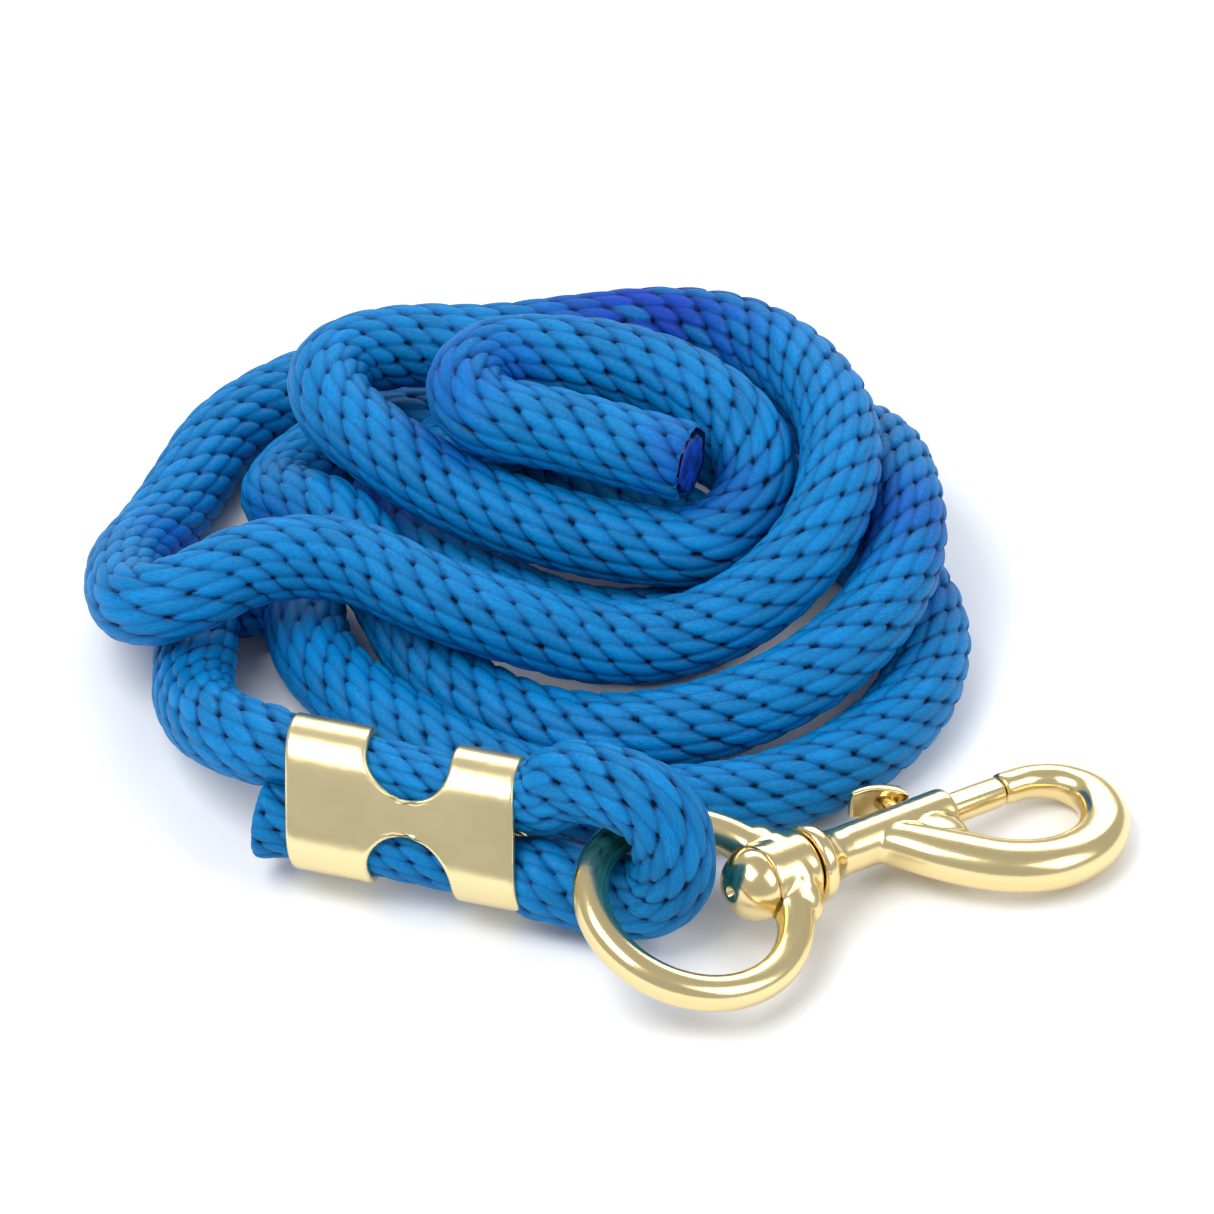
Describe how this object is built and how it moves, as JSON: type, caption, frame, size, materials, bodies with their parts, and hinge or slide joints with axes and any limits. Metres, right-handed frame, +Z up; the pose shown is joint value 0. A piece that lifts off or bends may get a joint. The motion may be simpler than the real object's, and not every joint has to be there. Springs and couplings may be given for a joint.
{
  "type": "lead rope",
  "caption": "Coiled solid-braid lead rope with a clamped eye and a swivelling brass bolt snap, for leading a horse.",
  "frame": {"origin": "middle of the whole coiled rope and snap in X and Y, on the floor it lies on", "axes": "+Z up from the floor, -Y towards the clamp and snap, +X towards the snap's tip"},
  "size_m": [0.1895, 0.1916, 0.0477],
  "materials": {
    "rope": "matt",
    "clamp_brass": "satin",
    "snap_brass": "polished",
    "bolt_brass": "polished",
    "spring_steel": "satin"
  },
  "bodies": {
    "rope": {"rope_eye_end": "rope", "rope_coil": "rope", "rope_clamp": "clamp_brass"},
    "eye": {"swivel_eye": "snap_brass"},
    "hook": {"hook_body": "snap_brass", "swivel_rivet": "snap_brass", "bolt_spring": "spring_steel"},
    "bolt": {"snap_bolt": "bolt_brass", "thumb_tab": "snap_brass"}
  },
  "joints": [
    {"name": "eye_swing", "type": "hinge", "parent": "rope", "child": "eye", "pos_m": [-0.0007, -0.0647, 0.0202], "axis": [-0.528, -0.8493, -0.0004], "range_deg": [-8, 60]},
    {"name": "hook_swivel", "type": "hinge", "parent": "eye", "child": "hook", "pos_m": [0.01468, -0.07426, 0.01405], "axis": [0.7908, 0.6002, -0.1201], "range_deg": [-130, 130]},
    {"name": "bolt_slide", "type": "slide", "parent": "hook", "child": "bolt", "axis": [-0.7908, -0.6002, 0.1201], "range_m": [0, 0.009], "stiffness_N_per_m": 350, "springref_m": -0.004, "deforming": ["bolt_spring"]}
  ]
}
